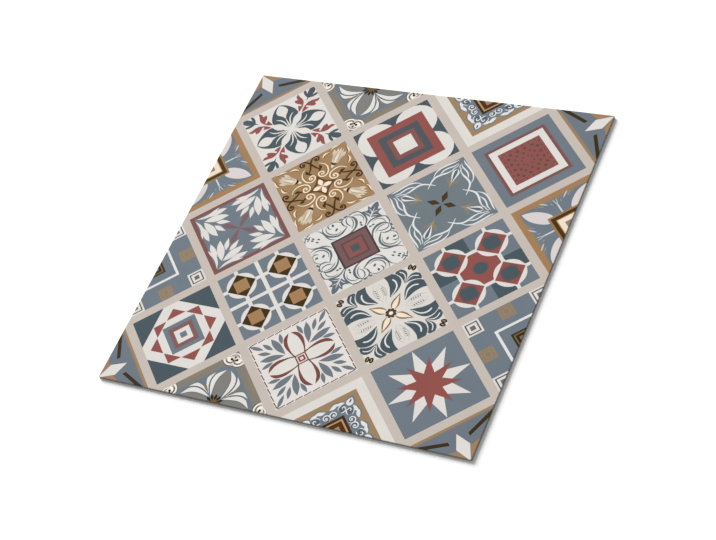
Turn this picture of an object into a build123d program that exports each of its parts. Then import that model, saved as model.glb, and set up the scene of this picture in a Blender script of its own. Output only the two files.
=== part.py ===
from build123d import *
import os

# A self-adhesive wall tile: one flat square sheet of printed vinyl, lying on its adhesive back.
# The origin is the middle of the back face. X and Y run along the sides, and +Z leaves the printed face.

# Driving dimensions, in millimetres
SIDE = 300.0  # one side of the square, edge to edge, so that tiles butt on a 300 mm module
THICKNESS = 2.0  # adhesive back to printed face
CORNER_RADIUS = 0.8  # plan radius that the cutting die leaves at each corner
ROLLED_EDGE = 0.35  # radius that the die rolls over round the printed face
BACK_BREAK = 0.1  # burr taken off round the back face


def cut_blank():
    """The sheet as the die stamps it out: a square with eased corners."""
    outline = RectangleRounded(SIDE, SIDE, CORNER_RADIUS)
    return extrude(outline, THICKNESS)


def outer_edges(sheet, upper):
    """The edges round the printed face, or round the back face."""
    faces = sheet.faces().sort_by(Axis.Z)
    face = faces[-1] if upper else faces[0]
    return face.outer_wire().edges()


def wall_tile():
    """The blank with its printed rim rolled over and its back rim broken."""
    sheet = cut_blank()
    sheet = fillet(outer_edges(sheet, upper=True), ROLLED_EDGE)
    return chamfer(outer_edges(sheet, upper=False), BACK_BREAK)


os.makedirs("parts", exist_ok=True)
tile = wall_tile()
tile.label = "wall_tile"
export_step(tile, "parts/wall_tile.step")
print("wall_tile", round(tile.volume), "mm3", tile.bounding_box().size)
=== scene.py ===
import math

import bmesh
import bpy
import numpy as np
from mathutils import Matrix, Vector
from mathutils.geometry import delaunay_2d_cdt


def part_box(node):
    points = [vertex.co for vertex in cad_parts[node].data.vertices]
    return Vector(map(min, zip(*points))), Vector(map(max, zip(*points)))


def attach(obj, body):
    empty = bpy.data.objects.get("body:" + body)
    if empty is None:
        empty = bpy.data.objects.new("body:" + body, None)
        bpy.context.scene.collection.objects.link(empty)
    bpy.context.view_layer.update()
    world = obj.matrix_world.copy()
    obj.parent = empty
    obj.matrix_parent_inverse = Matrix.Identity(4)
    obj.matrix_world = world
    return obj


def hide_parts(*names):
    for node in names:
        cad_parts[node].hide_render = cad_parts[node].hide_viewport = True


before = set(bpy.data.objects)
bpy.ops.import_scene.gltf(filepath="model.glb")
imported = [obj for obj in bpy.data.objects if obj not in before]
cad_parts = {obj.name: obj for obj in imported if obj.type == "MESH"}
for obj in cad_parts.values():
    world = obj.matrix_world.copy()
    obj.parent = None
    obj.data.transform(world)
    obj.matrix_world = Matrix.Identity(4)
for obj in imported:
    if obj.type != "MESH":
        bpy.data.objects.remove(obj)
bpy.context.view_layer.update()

high_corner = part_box("wall_tile")[1]

# Sizes of the sheet, in metres
HALF_SIDE = high_corner.x
THICKNESS = high_corner.z
CORNER_RADIUS = 0.0008
ROLLED_EDGE = 0.00035
BACK_BREAK = 0.0001
CORE_HALF = HALF_SIDE - CORNER_RADIUS  # the middles of the four round corners
FACE_HALF = HALF_SIDE - ROLLED_EDGE  # the flat of the printed face
CORNER_STEPS = 5  # faces round each corner
ROLL_STEPS = 4  # faces down the rolled edge
PRINT, CUT_EDGE, BACK = range(3)  # the sheet's materials, in their order

# Layout of the print: a motif is drawn about its own middle, in units of half a diamond's pitch
DIAMONDS_PER_SIDE = 3
UNIT = HALF_SIDE / DIAMONDS_PER_SIDE  # in metres
REACH = 0.905  # a printed diamond's corners, short of the grid's
PRINT_OFFSET = (-0.003, -0.013)  # how far the print lies off the sheet's middle
JOIN = 1e-5  # points of the print that are nearer than this become one
QUARTERS = (0, 90, 180, 270)
DIAGONALS = (45, 135, 225, 315)
DIAMOND_SIDES = ((1, 1), (-1, 1), (-1, -1), (1, -1))
SQUARE_SIDES = ((1, 0), (0, 1), (-1, 0), (0, -1))
LEAF_STEPS = 11
CURVE_STEPS = 6  # between two points of a smooth curve
ROUND_STEPS = 28
CURL_STEP = 40  # degrees between two points of a spiral

# The flat map that the looks are baked on, in shares of its width
MAP_GAP = 0.004
MAP_PRINT = 0.9  # the printed face, and the length of the back and of the edges
MAP_STRIP = 0.086  # the back's height, and the width of the four edges together
MAP_STRIP_FILL = 0.8  # of an edge's own strip

# Inks, as 8-bit screen colours
GROUT = (200, 190, 181)
CHALK = (225, 221, 216)
SLATE = (113, 124, 134)
NAVY = (76, 89, 96)
BRICK = (148, 84, 80)
MAROON = (128, 84, 80)
GOLD = (165, 128, 90)
BROWN = (67, 50, 24)

# How the lit face shows its inks
FACE_LIGHT = 1.153  # light that reaches the printed face, against a white that just shows as white
FACE_SHEEN = 0.007  # light that the face's gloss adds to every ink
DARKEST = 0.002  # the least share of light that an ink sends back

# Surfaces, with colours as shares of light
NOISE_LOW = 0.25  # where a noise's values start and end
NOISE_HIGH = 0.75
BUMP_STRENGTH = 0.6
# the cut edge's colour: the vinyl core's grey, darkened further by painted shade for the dark band
# along the tile's near edges
CORE_GREY_AND_PAINTED_SHADE = (0.25, 0.239, 0.224)
FILM = (0.66, 0.65, 0.61)
FLOOR_WHITE = (0.97, 0.97, 0.97, 1)

# The floor and the light, in metres, watts and degrees
FLOOR_HALF = 3
FLOOR_GAP = 0.00001  # between the floor and the tile's back
SURROUND = 0.37  # the even light from all round
LAMP_SIZE = 16.2
LAMP_DISTANCE = 27.0
LAMP_POWER = 17600.0
LAMP_BEARING = 142
LAMP_RISE = 20.5

# The camera, as the photograph's: its bearing, height and roll in degrees, its distance and aim in
# metres, its lens and sensor in millimetres, and its shift in shares of the picture's width
CAMERA_BEARING = 46.357
CAMERA_RISE = 49.2297
CAMERA_ROLL = -27.8293
CAMERA_DISTANCE = 1.2695
CAMERA_ASIDE = (0.0449, 0.0445)  # left of the face's middle and below it
CAMERA_LENS = 87.0
CAMERA_SENSOR = 36
CAMERA_SHIFT = (0.08834, 0.05203)


def turned(outline, degrees):
    """An outline turned about the motif's middle."""
    angle = math.radians(degrees)
    across = (math.cos(angle), -math.sin(angle))
    up = (math.sin(angle), math.cos(angle))
    return outline @ np.array((across, up)).T


def on_all_arms(shapes, arms=QUARTERS):
    """Shapes drawn on the upper arm, repeated on the other arms."""
    return [(ink, turned(outline, arm)) for arm in arms for ink, outline in shapes]


def on_both_sides(shapes):
    """Shapes drawn right of an arm's middle line, and their mirror images."""
    return [(ink, outline * side) for ink, outline in shapes for side in ((1, 1), (-1, 1))]


def on_diagonals(shapes):
    """Shapes drawn on the upper arm, repeated on the four diagonals between the arms."""
    return on_all_arms(shapes, DIAGONALS)


def in_all_corners(shapes):
    """Shapes drawn between the right and upper arms, and their mirror images between the others."""
    return [(ink, outline * (across, up)) for ink, outline in shapes
            for across in (1, -1) for up in (1, -1)]


def corners(*points):
    """A straight-sided outline."""
    return np.array(points, float)


def diamond(reach, at=(0, 0)):
    """A square on its corner."""
    return corners((reach, 0), (0, reach), (-reach, 0), (0, -reach)) + at


def nested_diamonds(*rings, at=(0, 0)):
    """Diamonds printed one on another, each given as (ink, reach)."""
    return [(ink, diamond(reach, at)) for ink, reach in rings]


def square(half, at=(0, 0)):
    """A square on its side."""
    return corners((half, half), (-half, half), (-half, -half), (half, -half)) + at


def octagon(reach, cut):
    """A square on its side, with its corners cut off."""
    flat = reach - cut
    return corners((reach, flat), (flat, reach), (-flat, reach), (-reach, flat),
                   (-reach, -flat), (-flat, -reach), (flat, -reach), (reach, -flat))


def oval(at, half_across, half_up, turn=0):
    """An ellipse, turned about its own middle."""
    angles = np.linspace(0, 2 * math.pi, ROUND_STEPS, endpoint=False)
    outline = np.column_stack((half_across * np.cos(angles), half_up * np.sin(angles)))
    return turned(outline, turn) + at


def disc(radius, at=(0, 0)):
    """A circle."""
    return oval(at, radius, radius)


def leaf(base, tip, width, belly=0.5, bend=0.0):
    """A pointed leaf, widest at the share belly of its length and bowed left by the share bend."""
    base = np.array(base, float)
    spine = np.array(tip, float) - base
    aside = np.array((-spine[1], spine[0]))
    along = np.linspace(0, 1, LEAF_STEPS)
    swell = along ** (math.log(0.5) / math.log(belly))
    half = width / 2 / np.hypot(*spine) * np.sin(math.pi * swell)
    bow = bend * np.sin(math.pi * along)
    middle = base + np.outer(along, spine)
    left = middle + np.outer(bow + half, aside)
    right = middle + np.outer(bow - half, aside)
    return np.vstack((left, right[-2:0:-1]))


def curve(points):
    """An open smooth curve through a few points."""
    points = np.array(points, float)
    ends = (2 * points[0] - points[1], 2 * points[-1] - points[-2])
    knots = np.vstack((ends[0], points, ends[1]))
    share = np.linspace(0, 1, CURVE_STEPS, endpoint=False)[:, None]
    spans = []
    for before, start, end, after in zip(knots, knots[1:], knots[2:], knots[3:]):
        slope = (end - before) / 2
        bend = before - 2.5 * start + 2 * end - after / 2
        twist = (3 * (start - end) + after - before) / 2
        spans.append(start + share * (slope + share * (bend + share * twist)))
    return np.vstack((*spans, points[-1:]))


def between(left, right):
    """The shape between two smooth curves that share both ends."""
    return np.vstack((curve(left), curve(right)[-2:0:-1]))


def symmetric(side):
    """A shape about an arm's middle line, from the smooth curve of its right side."""
    edge = curve(side)
    return np.vstack((edge, edge[-2:0:-1] * (-1, 1)))


def strap(start, end, width):
    """A straight band of even width."""
    start = np.array(start, float)
    end = np.array(end, float)
    aside = np.array((start[1] - end[1], end[0] - start[0])) * width / 2 / math.dist(start, end)
    return corners(start + aside, start - aside, end - aside, end + aside)


def stroke(points, width, head=0.3, tail=0.3, blunt=0.3):
    """A brush line along a smooth curve, thinner over the shares head and tail at its two ends."""
    line = curve(points)
    steps = np.gradient(line, axis=0)
    lengths = np.hypot(steps[:, 0], steps[:, 1])
    aside = np.column_stack((-steps[:, 1], steps[:, 0])) / lengths[:, None]
    along = np.cumsum(lengths)
    along = (along - along[0]) / (along[-1] - along[0])
    swell = np.minimum(along / head, (1 - along) / tail)
    half = width / 2 * (blunt + (1 - blunt) * np.clip(swell, 0, 1))
    return np.vstack((line + aside * half[:, None], (line - aside * half[:, None])[::-1]))


def curl(at, radius, start, sweep, tight):
    """Points of a spiral that winds in to the share tight of its radius, for a stroke."""
    count = round(abs(sweep) / CURL_STEP)
    angles = np.radians(np.linspace(start, start + sweep, count))
    reach = radius * np.linspace(1, tight, count)
    spiral = np.column_stack((reach * np.cos(angles), reach * np.sin(angles))) + at
    return [tuple(point) for point in spiral]


def tulip_cross():
    """Navy tulips on the diagonals, with red leaf pairs and navy trefoils on the arms."""
    large_leaf = between(
        [(0.014, 0.45), (0.03, 0.55), (0.074, 0.614), (0.14, 0.654), (0.204, 0.702)],
        [(0.014, 0.45), (0.048, 0.502), (0.1, 0.508), (0.162, 0.52), (0.196, 0.558), (0.16, 0.592),
         (0.2, 0.634), (0.204, 0.702)],
    )
    small_leaf = between(
        [(0.028, 0.35), (0.012, 0.42), (0.014, 0.51)],
        [(0.028, 0.35), (0.062, 0.406), (0.096, 0.472), (0.06, 0.472), (0.038, 0.486), (0.014, 0.51)],
    )
    arm = [(NAVY, symmetric([(0, 0.59), (0.012, 0.655), (0.026, 0.70), (0.05, 0.755), (0.056, 0.81),
                             (0.046, 0.866), (0, 0.896)]))]
    arm += on_both_sides([
        (NAVY, between([(0.0, 0.658), (0.036, 0.724), (0.072, 0.768), (0.11, 0.806)],
                       [(0.0, 0.658), (0.06, 0.69), (0.102, 0.728), (0.127, 0.772), (0.11, 0.806)])),
        (BRICK, large_leaf),
        (BRICK, small_leaf),
    ])
    tulip = [
        (NAVY, symmetric([(0, 0.045), (0.05, 0.105), (0.13, 0.185), (0.206, 0.25), (0.222, 0.305),
                          (0.205, 0.385), (0.155, 0.475), (0.085, 0.555), (0, 0.607)])),
        (CHALK, symmetric([(0, 0.262), (0.028, 0.335), (0.075, 0.392), (0.097, 0.45), (0.07, 0.525),
                           (0, 0.595)])),
        (CHALK, leaf((0, 0), (0, 0.30), 0.026, 0.35)),
    ]
    tulip += on_both_sides([(CHALK, stroke([(0.152, 0.328), (0.10, 0.29), (0.052, 0.212),
                                            (0.02, 0.06)], 0.023))])
    shapes = [(CHALK, diamond(REACH)), *on_all_arms(arm), *on_diagonals(tulip)]
    almond = symmetric([(0, 0.0), (0.018, 0.085), (0.05, 0.155), (0.064, 0.225), (0.045, 0.30),
                        (0, 0.374)])
    return shapes + on_all_arms([(CHALK, almond)])


def framed_diamond():
    """Nested diamonds over four chalk discs on a navy ground."""
    shapes = [(NAVY, diamond(REACH))]
    shapes += on_all_arms([(CHALK, disc(0.328, (0, 0.46)))])
    dark_edge = (98, 85, 88)
    return shapes + nested_diamonds((BRICK, 0.67), (dark_edge, 0.485), ((80, 88, 94), 0.465),
                                    (dark_edge, 0.342), ((136, 86, 83), 0.324), (CHALK, 0.215))


def banded_diamond():
    """A red diamond with rings of dark dots, in a chalk band on slate."""
    shapes = nested_diamonds((SLATE, REACH), ((122, 104, 108), 0.715), (MAROON, 0.69),
                             (CHALK, 0.633), ((143, 86, 82), 0.486))
    for reach, count, radius in ((0.43, 6, 0.014), (0.335, 4, 0.025), (0.225, 3, 0.02),
                                 (0.115, 2, 0.014)):
        for n in range(count):
            across = reach * (n + 0.5) / count
            shapes += on_all_arms([((104, 76, 72), disc(radius, (across, reach - across)))])
    return shapes


def leaf_spray():
    """Chalk leaf sprays in the corners of a red-edged slate diamond, round a muted red cross."""
    spray = on_both_sides([
        (CHALK, between([(0.018, 0.79), (0.053, 0.68), (0.12, 0.585), (0.20, 0.535), (0.318, 0.51)],
                        [(0.018, 0.79), (0.092, 0.69), (0.168, 0.618), (0.245, 0.572), (0.318, 0.51)])),
        (CHALK, between([(0.112, 0.588), (0.158, 0.50), (0.235, 0.43), (0.332, 0.38)],
                        [(0.112, 0.588), (0.205, 0.545), (0.29, 0.485), (0.332, 0.38)])),
        (CHALK, between([(0.008, 0.635), (0.02, 0.525), (0.07, 0.41), (0.205, 0.282)],
                        [(0.008, 0.635), (0.096, 0.573), (0.17, 0.475), (0.205, 0.38),
                         (0.205, 0.282)])),
        (CHALK, between([(0.03, 0.437), (0.021, 0.335), (0.09, 0.203)],
                        [(0.03, 0.437), (0.10, 0.345), (0.09, 0.203)])),
    ])
    paddle = symmetric([(0, -0.01), (0.018, 0.06), (0.04, 0.18), (0.036, 0.26), (0, 0.32)])
    shapes = [((128, 86, 83), diamond(REACH)), (SLATE, diamond(0.812))]
    shapes += on_all_arms([((117, 113, 121), paddle * (1.35, 1.04)),
                           ((125, 97, 102), paddle * (0.9, 0.95)), *spray])
    return shapes


def scrollwork():
    """Dark line scrolls and five-lobed leaves round nested red diamonds."""
    line = (96, 106, 113)
    leafage = (100, 110, 120)
    lobes = corners((0, 0.565), (0.045, 0.587), (0.105, 0.602), (0.172, 0.64), (0.112, 0.662),
                    (0.085, 0.69), (0.116, 0.762), (0.056, 0.742), (0.05, 0.80), (0.03, 0.845),
                    (0, 0.875))
    sprig = [(leafage, np.vstack((lobes, lobes[-2:0:-1] * (-1, 1)))),
             (CHALK, leaf((0, 0.53), (0, 0.78), 0.022, 0.35))]
    sprig += on_both_sides([
        (CHALK, stroke([(0.006, 0.60), (0.05, 0.625), (0.11, 0.635)], 0.012)),
        (CHALK, stroke([(0.004, 0.645), (0.035, 0.69), (0.075, 0.72)], 0.011)),
    ])
    twig = on_both_sides([
        (line, leaf((0.028, 0.60), (0.03, 0.66), 0.03)),
        (line, leaf((0.012, 0.69), (0.024, 0.75), 0.032)),
        (line, stroke([(0.0, 0.775), (0.032, 0.79), (0.05, 0.77)], 0.018)),
        (line, stroke([(0.0, 0.84), (0.045, 0.83), (0.09, 0.812)], 0.018)),
    ])
    twig.append((line, leaf((0, 0.76), (0, 0.885), 0.024)))
    corner = [
        stroke([(0.014, 0.39), (0.02, 0.47), (0.045, 0.535), (0.10, 0.588), (0.17, 0.622),
                (0.255, 0.643)], 0.028),
        stroke([(0.215, 0.64), (0.285, 0.607), (0.333, 0.555), (0.337, 0.51)], 0.022),
        stroke([(0.07, 0.49), (0.105, 0.553), (0.18, 0.58), (0.25, 0.558), (0.29, 0.515)], 0.016),
        stroke([(0.345, 0.513), (0.27, 0.518), (0.21, 0.488), (0.168, 0.435), (0.15, 0.375),
                (0.155, 0.31), (0.185, 0.235), (0.225, 0.185)], 0.042, 0.35, 0.6),
        stroke([(0.30, 0.502), (0.237, 0.455), (0.202, 0.385), (0.197, 0.31)], 0.017),
        stroke([(0.335, 0.515), (0.352, 0.46), (0.325, 0.405), (0.275, 0.37), (0.215, 0.355)],
               0.019),
        stroke([(0.355, 0.51), (0.405, 0.455), (0.40, 0.39), (0.35, 0.348), (0.275, 0.33)], 0.021),
        leaf((0.345, 0.525), (0.415, 0.488), 0.038),
        leaf((0.415, 0.455), (0.468, 0.418), 0.036),
        stroke([(0.28, 0.34), (0.295, 0.27), (0.315, 0.20), (0.36, 0.145), (0.43, 0.115),
                (0.50, 0.11), (0.575, 0.135), (0.63, 0.18), (0.652, 0.235)], 0.033, 0.2, 0.4),
        stroke([(0.335, 0.25), (0.375, 0.18), (0.45, 0.15), (0.53, 0.162), (0.585, 0.205),
                (0.605, 0.265)], 0.019),
        stroke([(0.575, 0.315), (0.588, 0.285), (0.56, 0.25), (0.51, 0.236)], 0.019),
        stroke([(0.32, 0.335), (0.395, 0.385), (0.475, 0.393), (0.54, 0.362), (0.58, 0.305)],
               0.014),
        oval((0.425, 0.25), 0.019, 0.03),
        oval((0.515, 0.31), 0.02, 0.028, -40),
        stroke([(0.35, 0.078), (0.43, 0.063), (0.51, 0.083), (0.59, 0.132), (0.67, 0.162),
                (0.735, 0.155)], 0.021),
        leaf((0.05, 0.40), (0.10, 0.418), 0.034),
        leaf((0.085, 0.43), (0.125, 0.465), 0.034),
    ]
    shapes = [((226, 223, 218), diamond(REACH - 0.01))]
    shapes += in_all_corners([(line, outline) for outline in corner])
    shapes += on_all_arms(sprig, (0, 180)) + on_all_arms(twig, (90, 270))
    return shapes + nested_diamonds(((70, 66, 66), 0.418), ((122, 89, 92), 0.374),
                                    ((98, 79, 76), 0.256), ((142, 87, 83), 0.208),
                                    ((112, 86, 86), 0.104), ((74, 92, 97), 0.08))


def linked_squares():
    """Five red squares with navy eyes, linked by chalk rings and straps."""
    middle = (0, 0.457)
    half = 0.171
    border = 0.028
    shapes = [(SLATE, diamond(REACH))]
    wedge = corners((0.15, 0.15), (0.46, 0.46), (0.72, 0.20), (0.40, 0.10))
    shapes += in_all_corners([(NAVY, wedge)])
    shapes.append((BRICK, octagon(0.27, 0.13)))
    arm = [(CHALK, disc(0.243, middle)), (CHALK, square(half + border, middle)),
           (CHALK, strap((0.12, 0.34), (0.34, 0.12), 0.058))]
    arm += on_both_sides([(CHALK, strap((0.13, 0.587), (0.30, 0.757), 0.055))])
    shapes += on_all_arms(arm)
    red_square = [(BRICK, square(half, middle))]
    for ink, reach, cut in (((128, 84, 82), 0.158, 0.122), ((104, 84, 86), 0.14, 0.105),
                            ((75, 90, 97), 0.12, 0.082)):
        red_square.append((ink, octagon(reach, cut) + middle))
    shapes += on_all_arms(red_square)
    shapes += [((120, 86, 85), disc(0.122)), ((75, 90, 97), disc(0.102))]
    return shapes


def star_frame():
    """A red eight-pointed star frame on a chalk square, with navy corners."""
    shapes = [(NAVY, diamond(REACH)), (CHALK, square(0.541))]
    shapes += on_all_arms([
        (BRICK, corners((0, 0.53), (-0.15, 0.382), (0.15, 0.382))),
        (BRICK, corners((0.385, 0.382), (0.162, 0.382), (0.385, 0.158))),
    ])
    return shapes + nested_diamonds((SLATE, 0.375), ((122, 106, 110), 0.28), ((136, 92, 91), 0.256),
                                    ((124, 104, 106), 0.192), (CHALK, 0.175), (SLATE, 0.073))


def petal_flower():
    """Slate leaf sprays and four cream petals edged with red crescents, in a dashed red border."""
    leafage = (114, 123, 131)
    red = (124, 76, 70)
    dark_red = (108, 64, 60)
    spray = [(leafage, leaf((0, 0.625), (0, 0.872), 0.062, 0.5))]
    spray += on_both_sides([
        (leafage, leaf((0.032, 0.485), (0.087, 0.69), 0.066, 0.5)),
        (leafage, between([(0.006, 0.27), (0.036, 0.42), (0.105, 0.53), (0.203, 0.602)],
                          [(0.006, 0.27), (0.095, 0.35), (0.175, 0.46), (0.203, 0.602)])),
        (leafage, leaf((0.155, 0.395), (0.322, 0.512), 0.064, 0.5)),
    ])
    petal = [((225, 222, 216), symmetric([(0, 0.05), (0.085, 0.09), (0.108, 0.2), (0.12, 0.315),
                                          (0.10, 0.42), (0, 0.515)]))]
    petal += on_both_sides([
        (red, between([(0.08, 0.07), (0.122, 0.18), (0.15, 0.315), (0.134, 0.42), (0.094, 0.48),
                       (0.016, 0.522)],
                      [(0.08, 0.07), (0.098, 0.19), (0.098, 0.31), (0.08, 0.40), (0.052, 0.455),
                       (0.016, 0.522)])),
        (dark_red, stroke([(0.078, 0.075), (0.1, 0.14), (0.113, 0.21)], 0.02, 0.1, 0.5)),
    ])
    dashes = 9
    border = []
    for n in range(dashes):
        start = 0.875 * (n + 0.03) / dashes
        end = 0.875 * (n + 0.97) / dashes
        border.append(((112, 72, 68), strap((start, 0.868 - start), (end, 0.882 - end), 0.016)))
    shapes = [((228, 223, 219), diamond(REACH - 0.005)), *on_all_arms(border + spray),
              *on_diagonals(petal)]
    return shapes + nested_diamonds((dark_red, 0.124), ((228, 204, 196), 0.098),
                                    ((124, 68, 64), 0.07), ((232, 212, 206), 0.036))


def compass_star():
    """Eight chalk kites round a red star on slate."""
    spoke = np.arange(16)
    angles = np.radians(spoke * 22.5)
    directions = np.column_stack((np.cos(angles), np.sin(angles)))
    faded_star = directions * np.where(spoke % 2, 0.475, 0.20)[:, None]
    star = directions * np.where(spoke % 2, 0.41, 0.215)[:, None]
    kite = corners((0, 0.198), (0.09, 0.31), (0, 0.63), (-0.09, 0.31))
    shapes = [(SLATE, diamond(REACH)), ((128, 102, 105), faded_star), (BRICK, star)]
    return shapes + on_all_arms([(CHALK, kite)], range(0, 360, 45))


def gilded_scrolls():
    """Brown curls, cream scrolls and striped cream buds on gold."""
    brown = (74, 50, 20)
    shade = (134, 102, 62)
    pale = (247, 228, 200)
    bud_grey = (214, 200, 178)
    curls = [
        stroke([(0.318, 0.17), (0.319, 0.22), (0.338, 0.291), (0.364, 0.355), (0.384, 0.41),
                (0.389, 0.45), *curl((0.325, 0.486), 0.062, 0, 450, 0.12)], 0.03, 0.2, 0.3, 0.7),
        disc(0.019, (0.325, 0.486)),
        leaf((0.325, 0.162), (0.392, 0.225), 0.05, 0.4),
        leaf((0.318, 0.17), (0.262, 0.183), 0.036, 0.4),
    ]
    scroll = [(0.25, 0.418), (0.165, 0.424), (0.09, 0.388), (0.041, 0.327), (0.024, 0.262),
              (0.042, 0.204), (0.091, 0.176), (0.146, 0.19), (0.166, 0.235), (0.138, 0.268),
              (0.096, 0.27), (0.08, 0.236), (0.104, 0.222)]
    outer_line = [(0.222, 0.512), (0.229, 0.565), (0.21, 0.612), (0.168, 0.648)]
    upper_line = [(0.15, 0.695), (0.143, 0.735), (0.118, 0.77), (0.085, 0.80), (0.06, 0.84)]
    arm = on_both_sides([
        (shade, stroke([(x - 0.016, y - 0.006) for x, y in outer_line], 0.03)),
        (pale, stroke(outer_line, 0.027, 0.4, 0.4, 0.2)),
        (shade, stroke([(x - 0.014, y - 0.008) for x, y in upper_line], 0.022)),
        (pale, stroke(upper_line, 0.022, 0.3, 0.5, 0.3)),
        (shade, stroke([(x + 0.008, y - 0.008) for x, y in scroll], 0.034)),
        (pale, stroke(scroll, 0.022, 0.3, 0.1, 0.4)),
        (pale, disc(0.017, (0.104, 0.228))),
        (bud_grey, leaf((0.055, 0.57), (0.1, 0.72), 0.056, 0.55)),
        (bud_grey, leaf((0.028, 0.60), (0.042, 0.755), 0.042, 0.5)),
    ])
    arm += [
        (bud_grey, symmetric([(0, 0.462), (0.047, 0.475), (0.07, 0.56), (0.088, 0.65), (0.05, 0.69),
                              (0, 0.70)])),
        (bud_grey, leaf((0, 0.60), (0, 0.775), 0.04, 0.5)),
        ((232, 222, 206), leaf((0, 0.475), (0, 0.66), 0.04, 0.4)),
    ]
    arm += on_both_sides([
        ((172, 150, 122), stroke([(0.022, 0.485), (0.034, 0.57), (0.028, 0.70)], 0.014)),
        ((186, 166, 140), stroke([(0.045, 0.50), (0.062, 0.59), (0.07, 0.66)], 0.014)),
    ])
    arm += [((46, 34, 22), stroke([(-0.052, 0.463), (0, 0.437), (0.052, 0.463)], 0.03, 0.3, 0.3)),
            (pale, corners((-0.027, 0.415), (0.027, 0.415), (0, 0.355))),
            ((100, 71, 33), stroke([(-0.18, 0.165), (-0.095, 0.125), (0, 0.108), (0.095, 0.125),
                                    (0.18, 0.165)], 0.04))]
    arm += [(brown, outline) for outline in curls]
    arm += [(brown, outline[:, ::-1]) for outline in curls]
    shapes = [((164, 131, 96), diamond(REACH)), ((157, 126, 89), square(0.36))]
    shapes += on_diagonals([((157, 126, 89), oval((0, 0.40), 0.21, 0.22))]) + on_all_arms(arm)
    shapes += on_diagonals([((250, 230, 214), leaf((0, 0), (0, 0.158), 0.078, 0.58))])
    return shapes


def garland():
    """White line garlands in the corners of a slate diamond, round four brown petals."""
    line = (228, 229, 228)
    bud_side = between([(0, 0.672), (0.055, 0.605), (0.036, 0.5), (0, 0.392)],
                       [(0, 0.672), (0.026, 0.605), (0.016, 0.5), (0, 0.392)])
    arm = on_both_sides([
        ((132, 127, 119), leaf((0, 0.345), (0.125, 0.51), 0.052, 0.6)),
        ((146, 132, 108), leaf((0, 0.335), (0.042, 0.445), 0.04, 0.6)),
    ])
    arm += [((168, 140, 96), leaf((0, 0.3), (0, 0.425), 0.03)),
            ((94, 104, 112), leaf((0, 0.655), (0, 0.43), 0.06))]
    arm += on_both_sides([
        (line, stroke([(0.038, 0.84), (0.08, 0.793), (0.152, 0.733), (0.22, 0.673), (0.268, 0.622),
                       (0.298, 0.56), (0.309, 0.5), (0.303, 0.44)], 0.024, 0.15, 0.3)),
        (line, stroke([(0.024, 0.776), (0.066, 0.714), (0.116, 0.678), (0.176, 0.63), (0.208, 0.58),
                       (0.228, 0.53)], 0.022, 0.3, 0.2)),
        (line, stroke([(0.04, 0.7), (0.06, 0.652), (0.08, 0.617)], 0.014)),
        (line, stroke([(0.05, 0.645), (0.08, 0.616), (0.128, 0.57), (0.212, 0.515), (0.272, 0.46),
                       (0.297, 0.41), (0.306, 0.35), (0.309, 0.29), (0.309, 0.22)], 0.03, 0.3, 0.4)),
        (line, stroke([(0.012, 0.76), (0.02, 0.715), (0.045, 0.675)], 0.012)),
        (line, bud_side),
    ])
    petal = corners((0, 0.02), (0.048, 0.13), (0, 0.243), (-0.048, 0.13))
    shapes = [((113, 124, 131), diamond(REACH)), *on_all_arms(arm)]
    shapes += on_all_arms([((66, 54, 38), petal), ((84, 56, 28), petal * 0.6 + (0, 0.05))])
    return shapes


def lattice():
    """Brown squares with gold diamonds in chalk rings, crossed by chalk straps."""
    middle = (0, 0.478)
    width = 0.063
    arm = [(CHALK, disc(0.236, middle)), (CHALK, strap((0.155, 0.32), (0.32, 0.155), width))]
    arm += on_both_sides([(CHALK, strap((0.14, 0.618), (0.26, 0.738), width))])
    shapes = [(SLATE, diamond(REACH)), *on_diagonals([(CHALK, strap((0, 0), (0, 0.66), width))]),
              *on_all_arms(arm)]
    return shapes + on_all_arms([(BROWN, square(0.165, middle)), (GOLD, diamond(0.155, middle))])


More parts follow.
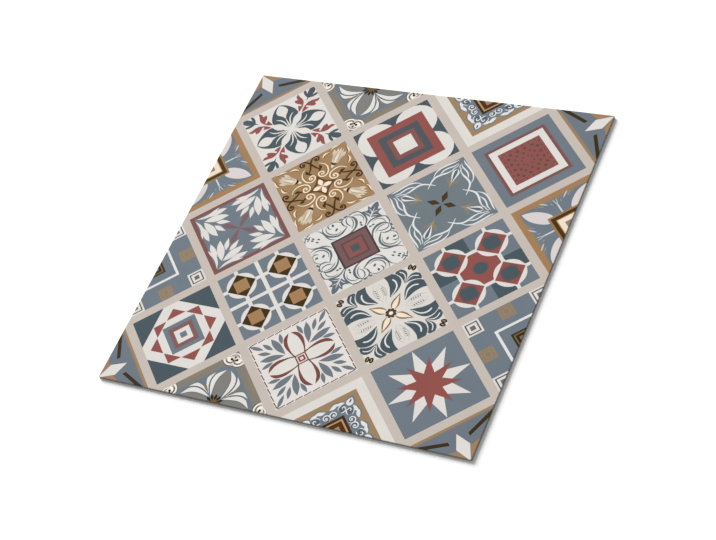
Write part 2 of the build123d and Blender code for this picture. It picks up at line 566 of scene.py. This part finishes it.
def acanthus():
    """Navy acanthus pairs on four arms round a gold star, with brown buttons in the corners."""
    white = (228, 228, 226)
    big_leaf = between(
        [(0.118, 0.25), (0.064, 0.36), (0.044, 0.47), (0.066, 0.563), (0.125, 0.62), (0.20, 0.648),
         (0.27, 0.642), (0.315, 0.61), (0.35, 0.56)],
        [(0.118, 0.25), (0.168, 0.36), (0.207, 0.432), (0.272, 0.508), (0.35, 0.56)],
    )
    small_leaf = between(
        [(0.002, 0.53), (0.01, 0.64), (0.032, 0.705), (0.08, 0.745), (0.145, 0.75), (0.197, 0.722),
         (0.212, 0.66)],
        [(0.002, 0.53), (0.046, 0.58), (0.10, 0.624), (0.16, 0.648), (0.212, 0.66)],
    )
    arm = on_both_sides([
        (NAVY, big_leaf),
        (white, stroke([(0.112, 0.28), (0.09, 0.40), (0.104, 0.475), (0.15, 0.532), (0.212, 0.558)],
                       0.024, 0.5, 0.05, 0.4)),
        (NAVY, small_leaf),
        (white, stroke([(0.012, 0.565), (0.04, 0.65), (0.085, 0.69), (0.155, 0.704)],
                       0.016, 0.4, 0.05, 0.4)),
        ((52, 42, 27), oval((0.032, 0.816), 0.033, 0.048)),
        ((190, 162, 122), leaf((0.028, 0.784), (0.034, 0.848), 0.015)),
    ])
    arm.append(((226, 208, 182), symmetric([(0, 0.05), (0.045, 0.1), (0.064, 0.16), (0.046, 0.24),
                                            (0.016, 0.31), (0, 0.375)])))
    arm.append(((246, 228, 203), leaf((0, 0.05), (0, 0.31), 0.07, 0.45)))
    arm += on_both_sides([
        ((138, 114, 84), stroke([(0.03, 0.08), (0.05, 0.15), (0.042, 0.22), (0.022, 0.28),
                                 (0.0, 0.35)], 0.026, 0.3, 0.4)),
    ])
    hatched_leaf = on_both_sides([
        ((196, 194, 188), stroke([(0.01, 0.235), (0.078, 0.36), (0.088, 0.47), (0.03, 0.59)],
                                 0.018)),
        ((200, 198, 192), stroke([(0.004, 0.29), (0.032, 0.40), (0.01, 0.55)], 0.014)),
    ])
    for rise in (0.34, 0.375, 0.41, 0.445, 0.48):
        hatch = strap((0.04, rise), (0.07, rise + 0.013), 0.014)
        hatched_leaf += on_both_sides([((122, 120, 115), hatch)])
    shapes = [((222, 217, 211), diamond(REACH - 0.01)), *on_diagonals(hatched_leaf),
              *on_all_arms(arm)]
    shapes.append(((122, 103, 78), disc(0.06)))
    shapes += on_all_arms([((80, 66, 48), disc(0.025, (0, 0.062)))], range(0, 360, 45))
    shapes.append(((246, 240, 230), disc(0.03)))
    return shapes


def daisy():
    """A white-edged grey daisy on slate and taupe, with small scroll brackets in the corners."""
    white = (227, 225, 220)
    shadow = (98, 101, 102)
    petal = [((130, 128, 125), symmetric([(0, 0.06), (0.06, 0.14), (0.10, 0.26), (0.11, 0.37),
                                          (0.088, 0.465), (0, 0.575)]))]
    petal += on_both_sides([
        (white, between([(0.135, 0.14), (0.215, 0.235), (0.26, 0.33), (0.262, 0.40),
                         (0.185, 0.495)],
                        [(0.135, 0.14), (0.19, 0.245), (0.212, 0.34), (0.208, 0.415), (0.185, 0.495)])),
        (white, between([(0.09, 0.10), (0.16, 0.235), (0.19, 0.36), (0.155, 0.475), (0.035, 0.568)],
                        [(0.09, 0.10), (0.10, 0.22), (0.108, 0.335), (0.09, 0.45), (0.035, 0.568)])),
        (shadow, stroke([(0.125, 0.15), (0.178, 0.245), (0.201, 0.355), (0.176, 0.475)], 0.014)),
        (shadow, stroke([(0.088, 0.12), (0.101, 0.22), (0.11, 0.335), (0.093, 0.44),
                         (0.045, 0.545)], 0.01)),
    ])
    pale = (248, 243, 233)
    brown = (96, 84, 70)
    soft_brown = (124, 113, 101)
    dark = (50, 41, 28)
    bracket = [(GROUT, corners((-0.175, 0.73), (0.175, 0.73), (0, 0.91))),
               (GROUT, oval((0, 0.745), 0.185, 0.1))]
    bracket += on_both_sides([
        ((112, 99, 82), stroke([(0, 0.665), (0.03, 0.646), (0.065, 0.638), (0.13, 0.66),
                                (0.172, 0.71)], 0.014)),
        (pale, stroke([(0, 0.69), (0.022, 0.669), (0.06, 0.659), (0.115, 0.676), (0.152, 0.712),
                       (0.172, 0.757)], 0.021)),
        (pale, oval((0.078, 0.738), 0.044, 0.028, 30)),
        (brown, stroke([(0.004, 0.735), (0.02, 0.705), (0.062, 0.69), (0.108, 0.708),
                        (0.128, 0.752)], 0.018)),
        (dark, stroke([(0, 0.722), (0.018, 0.744), (0.046, 0.757)], 0.02)),
        (dark, disc(0.02, (0.046, 0.755))),
        (pale, stroke([(0.012, 0.775), (0.045, 0.793), (0.098, 0.775), (0.14, 0.765)], 0.016)),
        (soft_brown, stroke([(0, 0.838), (0.045, 0.826), (0.08, 0.79)], 0.014)),
        (pale, stroke([(0, 0.86), (0.05, 0.845), (0.085, 0.805), (0.112, 0.8)], 0.015)),
        (soft_brown, stroke([(0, 0.88), (0.055, 0.864), (0.1, 0.825)], 0.013)),
    ])
    bracket += [(dark, disc(0.016, (0, 0.798))), ((112, 102, 92), disc(0.019, (0, 0.893)))]
    streak = on_both_sides([((151, 129, 100), leaf((0.24, 0.61), (0.60, 0.25), 0.032, 0.5))])
    shapes = nested_diamonds(((133, 127, 117), REACH), ((130, 127, 121), 0.79),
                             ((112, 123, 133), 0.71))
    shapes += on_all_arms(streak, (0, 180)) + on_all_arms(petal + bracket)
    shapes += on_diagonals([((130, 119, 107), leaf((0, 0.2), (0, 0.47), 0.042))])
    shapes.append(((132, 110, 78), disc(0.108)))
    shapes += on_all_arms([((50, 42, 27), leaf((0, 0.03), (0, 0.155), 0.044, 0.62))],
                          range(0, 360, 30))
    shapes.append(((114, 88, 58), disc(0.046)))
    return shapes


def lace():
    """A slate and white lace mat on gold in a chalk border, round nested brown diamonds."""
    line = (226, 227, 226)
    ground = (112, 125, 136)
    shadow = (88, 97, 106)
    bud = symmetric([(0, 0.412), (0.042, 0.44), (0.052, 0.482), (0.032, 0.525), (0, 0.557)])
    arm = [(line, bud), ((74, 80, 90), oval((0, 0.498), 0.012, 0.034))]
    arm += on_both_sides([
        (line, between([(0.062, 0.446), (0.112, 0.44), (0.152, 0.41), (0.162, 0.366)],
                       [(0.062, 0.446), (0.09, 0.408), (0.119, 0.376), (0.162, 0.366)])),
        (line, between([(0.155, 0.408), (0.2, 0.382), (0.226, 0.325), (0.232, 0.272)],
                       [(0.155, 0.408), (0.16, 0.345), (0.18, 0.305), (0.232, 0.272)])),
        (shadow, disc(0.056, (0.052, 0.35))),
        (line, stroke([(0.098, 0.39), (0.118, 0.35), (0.112, 0.3)], 0.013)),
        (line, stroke([(0.014, 0.34), (0.028, 0.378), (0.052, 0.384), (0.068, 0.362),
                       (0.056, 0.34)], 0.018)),
        (line, stroke([(0, 0.365), (0.004, 0.335), (0.028, 0.298), (0.055, 0.278)], 0.018)),
    ])
    ring_at = (0.058, 0.259)
    rings = on_both_sides([
        (shadow, disc(0.058, ring_at)),
        (line, stroke(curl(ring_at, 0.064, 250, -430, 0.35), 0.018)),
        (line, disc(0.016, ring_at)),
    ])
    shapes = [((224, 219, 213), diamond(REACH + 0.01)), ((159, 132, 101), diamond(0.70))]
    shapes += on_all_arms([
        (ground, oval((0, 0.335), 0.243, 0.132)),
        (ground, leaf((0, 0.36), (0, 0.59), 0.142, 0.6)),
    ])
    shapes.append((ground, diamond(0.51)))
    shapes += on_all_arms(arm) + on_diagonals(rings)
    return shapes + nested_diamonds(((70, 47, 18), 0.258), ((184, 148, 108), 0.2),
                                    ((84, 52, 10), 0.164), ((160, 134, 106), 0.072))


def ray_flower():
    """Four chalk petals and fine rays on gold-edged slate, round brown and cream diamonds."""
    petal = symmetric([(0, 0.20), (0.085, 0.31), (0.105, 0.44), (0.09, 0.57), (0.048, 0.67),
                       (0, 0.738)])
    barbs = [leaf((across, 0.56), (across - 0.055, 0.492), 0.026, 0.35)
             for across in (0.055, 0.1, 0.145, 0.19, 0.235, 0.28, 0.325)]
    feather = on_both_sides([((150, 130, 104), barb) for barb in barbs])
    ray = [((206, 209, 212), stroke([(0, 0.235), (0, 0.415)], 0.026, 0.1, 0.1, 0.6))]
    ray += on_both_sides([
        ((182, 187, 191), stroke([(0.0, 0.40), (0.016, 0.46), (0.026, 0.52)],
                                 0.016, 0.2, 0.2, 0.4)),
        ((190, 194, 197), stroke([(0.122, 0.468), (0.172, 0.515), (0.225, 0.558)], 0.023)),
        ((146, 152, 157), stroke([(0.192, 0.467), (0.26, 0.53)], 0.016)),
        ((150, 156, 160), stroke([(0.07, 0.42), (0.08, 0.49)], 0.014)),
    ])
    shapes = [(GOLD, diamond(REACH)), (SLATE, diamond(0.77)), *on_diagonals(feather + ray)]
    shapes += on_all_arms([((219, 211, 210), petal)])
    return shapes + nested_diamonds(((152, 123, 82), 0.342), ((80, 54, 16), 0.295),
                                    ((176, 138, 94), 0.212), ((241, 224, 203), 0.19),
                                    ((143, 132, 118), 0.076))


def nested_squares():
    """A chalk line diamond on slate, with nested squares in its corners and on its sides."""
    corner = (0, 0.733)
    side = (0, 0.518)
    shapes = [(SLATE, diamond(REACH))]
    for ink, half in (((124, 125, 124), 0.126), ((149, 130, 107), 0.108), ((137, 127, 114), 0.077),
                      ((159, 131, 98), 0.058), ((136, 125, 111), 0.034)):
        shapes += on_diagonals([(ink, square(half, side))])
    shapes += nested_diamonds(((228, 228, 226), 0.416), (SLATE, 0.358), ((60, 50, 36), 0.17),
                              ((134, 106, 72), 0.128), ((58, 46, 28), 0.102), ((124, 112, 98), 0.045))
    return shapes + on_all_arms(nested_diamonds((CHALK, 0.175), ((100, 98, 97), 0.136),
                                                (CHALK, 0.107), ((112, 110, 110), 0.054), at=corner))


def kite_star():
    """A chalk and gold kite star with brown bars on gold-edged slate."""
    shapes = nested_diamonds(((162, 130, 97), REACH), ((136, 127, 118), 0.855),
                             ((113, 122, 132), 0.83))
    gold_kite = corners((0, 0), (0.086, 0.225), (0, 0.372), (-0.086, 0.225))
    chalk_kite = corners((0, 0), (0.103, 0.25), (0, 0.482), (-0.103, 0.25))
    shapes += on_all_arms([((162, 130, 98), gold_kite)]) + on_diagonals([(CHALK, chalk_kite)])
    bar = corners((0, 0.83), (0.189, 0.402), (0.147, 0.36), (0, 0.685))
    return shapes + on_all_arms(on_both_sides([((64, 52, 32), bar)]))


# Where each motif's diamonds lie, in pitches from the tile's lower left corner. A motif on an edge
# is cut in half there, and its other half is on the opposite edge.
PATCHWORK = (
    (tulip_cross, [(0.5, 2.5)]),
    (framed_diamond, [(1.5, 2.5)]),
    (banded_diamond, [(2.5, 2.5)]),
    (leaf_spray, [(0.5, 1.5)]),
    (scrollwork, [(1.5, 1.5)]),
    (linked_squares, [(2.5, 1.5)]),
    (star_frame, [(0.5, 0.5)]),
    (petal_flower, [(1.5, 0.5)]),
    (compass_star, [(2.5, 0.5)]),
    (gilded_scrolls, [(1, 2)]),
    (garland, [(2, 2)]),
    (lattice, [(1, 1)]),
    (acanthus, [(2, 1)]),
    (daisy, [(1, 3), (1, 0)]),
    (lace, [(2, 3), (2, 0)]),
    (ray_flower, [(3, 2), (0, 2)]),
    (nested_squares, [(3, 1), (0, 1)]),
    (kite_star, [(0, 0), (3, 0), (0, 3), (3, 3)]),
)


def trimmed(outline, sides, reach):
    """An outline cut back to the diamond or square of that reach, or None where nothing is left."""
    for side in sides:
        room = reach - outline @ np.array(side, float)
        kept = []
        for before, point, room_before, room_here in zip(np.roll(outline, 1, 0), outline,
                                                         np.roll(room, 1), room):
            if (room_before < 0) != (room_here < 0):
                kept.append(before + (point - before) * room_before / (room_before - room_here))
            if room_here >= 0:
                kept.append(point)
        if len(kept) < 3:
            return None
        outline = np.array(kept)
    return outline


def whole_print():
    """Every field of ink on the tile as (ink, outline), in printing order, from the tile's middle."""
    fields = []
    for motif, places in PATCHWORK:
        for place in places:
            middle = 2 * np.array(place, float) - DIAMONDS_PER_SIDE + PRINT_OFFSET
            for ink, outline in motif():
                in_diamond = trimmed(outline, DIAMOND_SIDES, REACH)
                if in_diamond is None:
                    continue
                on_tile = trimmed(in_diamond + middle, SQUARE_SIDES, FACE_HALF / UNIT)
                if on_tile is not None:
                    fields.append((ink, on_tile))
    return fields


def face_border():
    """The edge of the flat printed face, with its small round corners, in units."""
    angles = np.radians(np.linspace(0, 90, CORNER_STEPS + 1))
    radius = CORNER_RADIUS - ROLLED_EDGE
    corner = CORE_HALF + radius * np.column_stack((np.cos(angles), np.sin(angles)))
    return np.vstack([turned(corner / UNIT, quarter) for quarter in QUARTERS])


def winds_round(outline, points):
    """Which points an outline encloses, also where it crosses itself."""
    start = outline
    end = np.roll(outline, -1, 0)
    x = points[:, :1]
    y = points[:, 1:]
    side = end - start
    left = side[:, 0] * (y - start[:, 1]) - (x - start[:, 0]) * side[:, 1]
    rises = (start[:, 1] <= y) & (end[:, 1] > y) & (left > 0)
    falls = (start[:, 1] > y) & (end[:, 1] <= y) & (left < 0)
    return rises.sum(1) != falls.sum(1)


def cut_fields(fields, border):
    """The flat face cut along every outline: its points, its triangles, and each triangle's ink."""
    points = []
    cuts = []
    for outline in [border, *(outline for _, outline in fields)]:
        first = len(points)
        count = len(outline)
        points.extend(Vector(point) for point in outline)
        cuts.extend((first + n, first + (n + 1) % count) for n in range(count))
    points, _, triangles, *_ = delaunay_2d_cdt(points, cuts, [], 0, JOIN, False)
    points = np.array(points)
    triangles = np.array(triangles)
    middles = points[triangles].mean(1)
    on_face = winds_round(border, middles)
    triangles = triangles[on_face]
    middles = middles[on_face]
    inks = np.tile(GROUT, (len(triangles), 1))
    for ink, outline in fields:
        near = np.flatnonzero(((middles > outline.min(0)) & (middles < outline.max(0))).all(1))
        inks[near[winds_round(outline, middles[near])]] = ink
    return points, triangles, inks


def reflectance(ink):
    """The share of light that an ink sends back, red, green and blue, from its screen colour."""
    screen = np.array(ink) / 255
    shown = np.where(screen > 0.04045, ((screen + 0.055) / 1.055) ** 2.4, screen / 12.92)
    return (*np.clip((shown - FACE_SHEEN) / FACE_LIGHT, DARKEST, 1), 1)


def rim_profile():
    """Steps down the edge, rolled over, cut and broken, as (distance out from the core, height)."""
    turns = np.radians(np.linspace(0, 90, ROLL_STEPS + 1)[1:])
    rolled = [(CORNER_RADIUS - ROLLED_EDGE * (1 - math.sin(turn)),
               THICKNESS - ROLLED_EDGE * (1 - math.cos(turn)))
              for turn in turns]
    return rolled + [(CORNER_RADIUS, BACK_BREAK), (CORNER_RADIUS - BACK_BREAK, 0.0)]


def step_out(vertex, out, height):
    """Moves a point of the rim straight out from the sheet's core to its place down the edge."""
    core = Vector((min(max(vertex.co.x, -CORE_HALF), CORE_HALF),
                   min(max(vertex.co.y, -CORE_HALF), CORE_HALF)))
    place = core + (vertex.co.xy - core).normalized() * out
    vertex.co = (place.x, place.y, height)


def add_rim(mesh, ink_layer):
    """Extrudes the printed face's border over the rolled edge and down to the back, and closes it."""
    border = [edge for edge in mesh.edges if edge.is_boundary]
    rings = {vertex: 0.0 for edge in border for vertex in edge.verts}
    profile = rim_profile()
    for step, (out, height) in enumerate(profile):
        grown = bmesh.ops.extrude_edge_only(mesh, edges=border)["geom"]
        for edge in border:
            above, below = sorted(edge.link_faces, key=lambda face: face in grown)
            below[ink_layer] = above[ink_layer]
            below.material_index = PRINT if step < ROLL_STEPS else CUT_EDGE
            below.smooth = step < ROLL_STEPS
        for vertex in (item for item in grown if isinstance(item, bmesh.types.BMVert)):
            step_out(vertex, out, height)
            rings[vertex] = (step + 1) / len(profile)
        border = [item for item in grown
                  if isinstance(item, bmesh.types.BMEdge) and item.is_boundary]
    back = bmesh.ops.contextual_create(mesh, geom=border)["faces"]
    fan = bmesh.ops.poke(mesh, faces=back)["faces"]
    for face in fan:
        face.material_index = BACK
        face.smooth = False
    return rings


def lay_out_map(mesh, rings):
    """A flat map of the sheet: the print large, the four edges in strips beside it, the back above."""
    layer = mesh.loops.layers.uv.new("OFBake")
    for face in mesh.faces:
        middle = face.calc_center_median()
        quarter = round(math.atan2(middle.y, middle.x) / (math.pi / 2)) % len(QUARTERS)
        flat = all(vertex.co.z == THICKNESS for vertex in face.verts)
        for loop in face.loops:
            place = loop.vert.co.xy
            if flat:
                across, up = (place + Vector((HALF_SIDE, HALF_SIDE))) / (2 * HALF_SIDE) * MAP_PRINT
            elif face.material_index == BACK:
                across = (place.x + HALF_SIDE) / (2 * HALF_SIDE) * MAP_PRINT
                up = MAP_PRINT + MAP_GAP + (place.y + HALF_SIDE) / (2 * HALF_SIDE) * MAP_STRIP
            else:
                along = (Matrix.Rotation(-quarter * math.pi / 2, 2) @ place).y
                strip = (quarter + MAP_STRIP_FILL * rings[loop.vert]) / len(QUARTERS)
                across = MAP_PRINT + MAP_GAP + strip * MAP_STRIP
                up = (along + HALF_SIDE) / (2 * HALF_SIDE) * MAP_PRINT
            loop[layer].uv = (MAP_GAP + across, MAP_GAP + up)


def printed_sheet():
    """The tile as one closed mesh, with an ink for each face of the print."""
    points, triangles, inks = cut_fields(whole_print(), face_border())
    mesh = bmesh.new()
    ink_layer = mesh.faces.layers.float_color.new("ink")
    vertices = {}
    for n in sorted(set(triangles.ravel())):
        across, up = points[n] * UNIT
        vertices[n] = mesh.verts.new((across, up, THICKNESS))
    for triangle, ink in zip(triangles, inks):
        face = mesh.faces.new([vertices[n] for n in triangle])
        face[ink_layer] = reflectance(ink)
        face.material_index = PRINT
        face.smooth = False
    rings = add_rim(mesh, ink_layer)
    bmesh.ops.recalc_face_normals(mesh, faces=mesh.faces)
    lay_out_map(mesh, rings)
    data = bpy.data.meshes.new("printed_wall_tile")
    mesh.to_mesh(data)
    mesh.free()
    piece = bpy.data.objects.new("printed_wall_tile", data)
    bpy.context.scene.collection.objects.link(piece)
    return piece


def new_material(name, roughness, gloss):
    """A material with one plain surface shader, and its nodes and links."""
    material = bpy.data.materials.new(name)
    material.use_nodes = True
    nodes = material.node_tree.nodes
    surface = nodes["Principled BSDF"]
    surface.inputs["Roughness"].default_value = roughness
    surface.inputs["Specular IOR Level"].default_value = gloss
    return material, nodes, material.node_tree.links, surface


def grain(nodes, links, scale, detail, low, high):
    """A noise on the tile's own coordinates, spread from low to high."""
    place = nodes.new("ShaderNodeTexCoord")
    noise = nodes.new("ShaderNodeTexNoise")
    noise.inputs["Scale"].default_value = scale
    noise.inputs["Detail"].default_value = detail
    spread = nodes.new("ShaderNodeMapRange")
    spread.inputs["From Min"].default_value = NOISE_LOW
    spread.inputs["From Max"].default_value = NOISE_HIGH
    spread.inputs["To Min"].default_value = low
    spread.inputs["To Max"].default_value = high
    links.new(place.outputs["Object"], noise.inputs["Vector"])
    links.new(noise.outputs["Fac"], spread.inputs["Value"])
    return spread.outputs["Result"]


def shade(nodes, links, amount):
    """A node that makes its first input, a colour, lighter or darker by an amount."""
    product = nodes.new("ShaderNodeVectorMath")
    product.operation = "SCALE"
    links.new(amount, product.inputs["Scale"])
    return product


def raised(nodes, links, surface, height, depth):
    """Bump on a surface from a height, with its full depth in metres."""
    bump = nodes.new("ShaderNodeBump")
    bump.inputs["Distance"].default_value = depth
    bump.inputs["Strength"].default_value = BUMP_STRENGTH
    links.new(height, bump.inputs["Height"])
    links.new(bump.outputs["Normal"], surface.inputs["Normal"])


def ink_on_vinyl():
    """The printed face: each field's ink with a fine print grain, on matt vinyl."""
    material, nodes, links, surface = new_material("printed_vinyl", roughness=0.6, gloss=0.02)
    ink = nodes.new("ShaderNodeAttribute")
    ink.attribute_name = "ink"
    density = shade(nodes, links, grain(nodes, links, scale=60, detail=3, low=0.975, high=1.025))
    speckle = shade(nodes, links, grain(nodes, links, scale=1500, detail=2, low=0.97, high=1.03))
    links.new(ink.outputs["Color"], density.inputs[0])
    links.new(density.outputs["Vector"], speckle.inputs[0])
    links.new(speckle.outputs["Vector"], surface.inputs["Base Color"])
    polish = grain(nodes, links, scale=300, detail=2, low=0.56, high=0.7)
    links.new(polish, surface.inputs["Roughness"])
    tooth = grain(nodes, links, scale=900, detail=3, low=0, high=1)
    raised(nodes, links, surface, tooth, depth=0.00003)
    return material


def cut_vinyl():
    """The cut edge: the sheet's grey core, darkened further by painted shade for the dark band along
    the near edges, with the die's fine marks.
    """
    material, nodes, links, surface = new_material("cut_vinyl_edge", roughness=0.65, gloss=0.2)
    core = shade(nodes, links, grain(nodes, links, scale=900, detail=3, low=0.85, high=1.1))
    # the core's grey, darker than the vinyl's own by painted shade
    core.inputs[0].default_value = CORE_GREY_AND_PAINTED_SHADE
    links.new(core.outputs["Vector"], surface.inputs["Base Color"])
    marks = grain(nodes, links, scale=1500, detail=3, low=0, high=1)
    raised(nodes, links, surface, marks, depth=0.00004)
    return material


def adhesive_film():
    """The back: pale adhesive film, a little mottled."""
    material, nodes, links, surface = new_material("adhesive_back", roughness=0.4, gloss=0.35)
    film = shade(nodes, links, grain(nodes, links, scale=90, detail=4, low=0.93, high=1.05))
    film.inputs[0].default_value = FILM
    links.new(film.outputs["Vector"], surface.inputs["Base Color"])
    tack = grain(nodes, links, scale=140, detail=3, low=0.3, high=0.5)
    links.new(tack, surface.inputs["Roughness"])
    ripple = grain(nodes, links, scale=500, detail=3, low=0, high=1)
    raised(nodes, links, surface, ripple, depth=0.00004)
    return material


def white_floor():
    """A plain matt white floor under the tile."""
    mesh = bmesh.new()
    bmesh.ops.create_grid(mesh, x_segments=1, y_segments=1, size=FLOOR_HALF)
    bmesh.ops.translate(mesh, verts=mesh.verts, vec=(0, 0, -FLOOR_GAP))
    data = bpy.data.meshes.new("floor")
    mesh.to_mesh(data)
    mesh.free()
    floor = bpy.data.objects.new("floor", data)
    bpy.context.scene.collection.objects.link(floor)
    material, *_, surface = new_material("floor_white", roughness=0.9, gloss=0.0)
    surface.inputs["Base Color"].default_value = FLOOR_WHITE
    data.materials.append(material)
    return floor


def soft_light():
    """An even white surround, and one broad lamp behind the tile's far corner."""
    world = bpy.data.worlds.new("studio")
    world.use_nodes = True
    background = world.node_tree.nodes["Background"]
    background.inputs["Color"].default_value = (1, 1, 1, 1)
    background.inputs["Strength"].default_value = SURROUND
    bpy.context.scene.world = world
    lamp_data = bpy.data.lights.new("broad_lamp", "AREA")
    lamp_data.shape = "DISK"
    lamp_data.size = LAMP_SIZE
    lamp_data.energy = LAMP_POWER
    lamp = bpy.data.objects.new("broad_lamp", lamp_data)
    bearing = math.radians(LAMP_BEARING)
    rise = math.radians(LAMP_RISE)
    towards = Vector((math.cos(bearing) * math.cos(rise), math.sin(bearing) * math.cos(rise),
                      math.sin(rise)))
    lamp.location = towards * LAMP_DISTANCE
    lamp.rotation_euler = towards.to_track_quat("Z", "Y").to_euler()
    bpy.context.scene.collection.objects.link(lamp)


def camera():
    """A camera at the photograph's viewing angle, with the shift that its framing needs."""
    bearing = math.radians(CAMERA_BEARING)
    rise = math.radians(CAMERA_RISE)
    roll = math.radians(CAMERA_ROLL)
    back = Vector((math.sin(bearing) * math.cos(rise), -math.cos(bearing) * math.cos(rise),
                   math.sin(rise)))
    level = Vector((math.cos(bearing), math.sin(bearing), 0))
    upright = back.cross(level)
    right = level * math.cos(roll) + upright * math.sin(roll)
    up = upright * math.cos(roll) - level * math.sin(roll)
    aside, raise_by = CAMERA_ASIDE
    place = Vector((0, 0, THICKNESS)) - right * aside - up * raise_by + back * CAMERA_DISTANCE
    data = bpy.data.cameras.new("camera")
    data.sensor_fit = "HORIZONTAL"
    data.sensor_width = CAMERA_SENSOR
    data.lens = CAMERA_LENS
    data.shift_x, data.shift_y = CAMERA_SHIFT
    piece = bpy.data.objects.new("camera", data)
    piece.matrix_world = Matrix.Translation(place) @ Matrix((right, up, back)).transposed().to_4x4()
    bpy.context.scene.collection.objects.link(piece)
    bpy.context.scene.camera = piece


tile = printed_sheet()
for finish in (ink_on_vinyl(), cut_vinyl(), adhesive_film()):
    tile.data.materials.append(finish)
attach(tile, "root")
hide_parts("wall_tile")
white_floor()
soft_light()
camera()
bpy.context.scene.view_settings.view_transform = "Standard"
